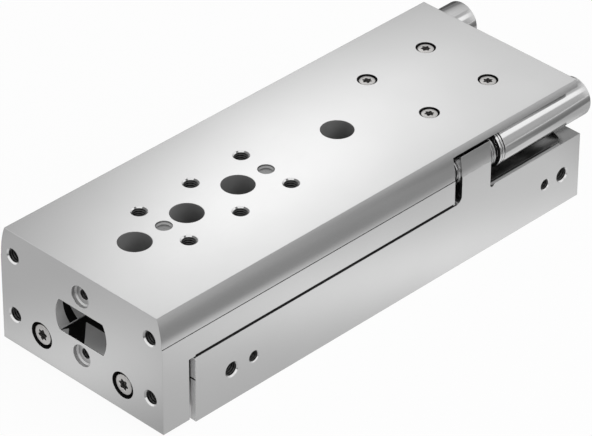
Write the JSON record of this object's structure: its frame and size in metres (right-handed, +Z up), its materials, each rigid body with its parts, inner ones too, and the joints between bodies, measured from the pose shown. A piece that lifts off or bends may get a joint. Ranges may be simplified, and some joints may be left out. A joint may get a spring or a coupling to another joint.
{
  "type": "pneumatic slide table",
  "caption": "Flat pneumatic slide table: a twin-piston housing drives a guided table with a front plate, and two dampers catch it at its ends.",
  "frame": {"origin": "centre of the housing's mounting face", "axes": "+Z up out of the table top, the front plate faces -Y, the retracting damper is on the +X side"},
  "size_m": [0.065, 0.1821, 0.0402],
  "materials": {
    "housing_metal": "satin, clear anodised",
    "table_metal": "satin, finely ground",
    "guide_steel": "ground",
    "bearing_steel": "polished",
    "cap_plastic": "moulded",
    "seal_rubber": "matte",
    "screw_steel": "zinc plated",
    "ring_steel": "phosphated",
    "magnet": "sintered",
    "bush_bronze": "turned",
    "cap_metal": "turned",
    "rod_chrome": "ground and chromed",
    "piston_metal": "turned",
    "damper_nickel": "nickel plated",
    "damper_plug_steel": "turned",
    "plunger_steel": "hardened and ground"
  },
  "bodies": {
    "housing": {"housing": "housing_metal", "guide_rail": "guide_steel", "rail_screws": "screw_steel", "rod_bush_right": "bush_bronze", "rod_bush_left": "bush_bronze", "rod_seal_right": "seal_rubber", "rod_seal_left": "seal_rubber", "cylinder_cap_right": "cap_metal", "cylinder_cap_left": "cap_metal", "retaining_rings": "ring_steel", "port_plugs": "screw_steel", "retract_damper_sleeve": "damper_nickel", "retract_damper_collar": "damper_nickel", "retract_damper_plug": "damper_plug_steel"},
    "table": {"slide_table": "table_metal", "carriage_block": "guide_steel", "carriage_end_caps": "cap_plastic", "carriage_end_seals": "seal_rubber", "guide_balls": "bearing_steel", "carriage_screws": "screw_steel", "plate_screws": "screw_steel", "piston_rod_right": "rod_chrome", "piston_rod_left": "rod_chrome", "piston_right": "piston_metal", "piston_left": "piston_metal", "piston_seals": "seal_rubber", "piston_magnets": "magnet", "advance_damper_sleeve": "damper_nickel", "advance_damper_collar": "damper_nickel", "advance_damper_plug": "damper_plug_steel"},
    "retract_plunger": {"retract_plunger": "plunger_steel"},
    "advance_plunger": {"advance_plunger": "plunger_steel"}
  },
  "joints": [
    {"name": "table_travel", "type": "slide", "parent": "housing", "child": "table", "axis": [0, -1, 0], "range_m": [0, 0.08]},
    {"name": "retract_plunger_press", "type": "slide", "parent": "housing", "child": "retract_plunger", "axis": [0, 1, 0], "range_m": [0, 0.005], "stiffness_N_per_m": 800},
    {"name": "advance_plunger_press", "type": "slide", "parent": "table", "child": "advance_plunger", "axis": [0, 1, 0], "range_m": [0, 0.005], "stiffness_N_per_m": 800}
  ]
}
